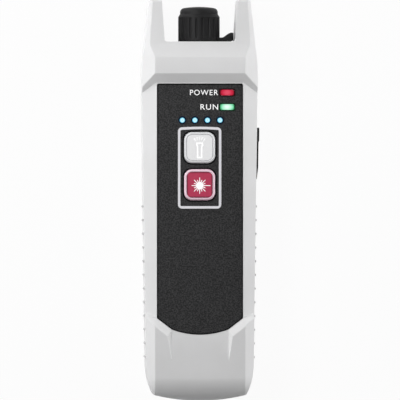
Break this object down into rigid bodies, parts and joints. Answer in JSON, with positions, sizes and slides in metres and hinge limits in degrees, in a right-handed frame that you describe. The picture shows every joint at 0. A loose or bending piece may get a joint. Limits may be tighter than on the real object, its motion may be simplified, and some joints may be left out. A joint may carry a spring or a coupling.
{
  "type": "fibre optic tester",
  "caption": "Hand-held visual fault locator: grey two-pronged casing with a capped laser port, black front label, indicator windows, torch and laser keys and a covered charging socket.",
  "frame": {"origin": "middle of the flat back, on which the tester lies", "axes": "+Y from the foot towards the prongs, +Z out of the front with the keys, +X to the right"},
  "size_m": [0.0482, 0.164, 0.03],
  "materials": {
    "casing_grey": "fine moulded grain",
    "label_black": "textured film",
    "outline_grey": "printed",
    "red_lens": "tinted, lit from behind",
    "green_lens": "tinted, lit from behind",
    "blue_lens": "tinted, lit from behind",
    "key_white": "smooth satin",
    "key_rim": "smooth satin",
    "key_red": "smooth satin",
    "rubber_black": "matt moulded",
    "silicone_grey": "soft",
    "switch_black": "moulded",
    "lamp_white": "moulded",
    "lamp_clear": "clear",
    "board_green": "solder mask",
    "steel": "plated",
    "port_chrome": "nickel plated",
    "ceramic_white": "ground ceramic",
    "module_brass": "turned",
    "cell_wrap": "shrink wrap",
    "wire_red": "insulation"
  },
  "bodies": {
    "casing": {"front_shell": "casing_grey", "rear_shell": "casing_grey", "front_label": "label_black", "key_outline": "outline_grey", "red_window": "red_lens", "green_window": "green_lens", "torch_switch": "switch_black", "laser_switch": "switch_black", "key_seal": "silicone_grey", "indicator_leds": "lamp_white", "main_board": "board_green", "control_chip": "switch_black", "charging_socket": "steel", "port_barrel": "port_chrome", "port_nut": "port_chrome", "ferrule_sleeve": "ceramic_white", "laser_module": "module_brass", "laser_board": "board_green", "laser_leads": "wire_red", "torch_lamp": "lamp_clear", "torch_lamp_legs": "steel", "lithium_cell": "cell_wrap", "cell_contacts": "steel", "cell_leads": "wire_red", "case_seal": "rubber_black", "case_screws": "steel", "board_screws": "steel", "level_lens_1": "blue_lens", "level_lens_2": "blue_lens", "level_lens_3": "blue_lens", "level_lens_4": "blue_lens"},
    "torch_key": {"torch_key": "key_white", "torch_plunger": "switch_black"},
    "laser_key": {"laser_key": "key_rim", "laser_key_face": "key_red", "laser_plunger": "switch_black"},
    "dust_cap": {"dust_cap": "rubber_black"},
    "socket_cover": {"socket_cover": "rubber_black"}
  },
  "joints": [
    {"name": "torch_press", "type": "slide", "parent": "casing", "child": "torch_key", "axis": [0, 0, -1], "range_m": [0, 0.0006], "stiffness_N_per_m": 300, "springref_m": -0.0005},
    {"name": "laser_press", "type": "slide", "parent": "casing", "child": "laser_key", "axis": [0, 0, -1], "range_m": [0, 0.0006], "stiffness_N_per_m": 300, "springref_m": -0.0005},
    {"name": "cap_pull", "type": "slide", "parent": "casing", "child": "dust_cap", "axis": [0, 1, 0], "range_m": [0, 0.045]},
    {"name": "cover_swing", "type": "hinge", "parent": "casing", "child": "socket_cover", "pos_m": [0.023, 0.00887, 0.0172], "axis": [0, 0, -1], "range_deg": [0, 100]}
  ]
}
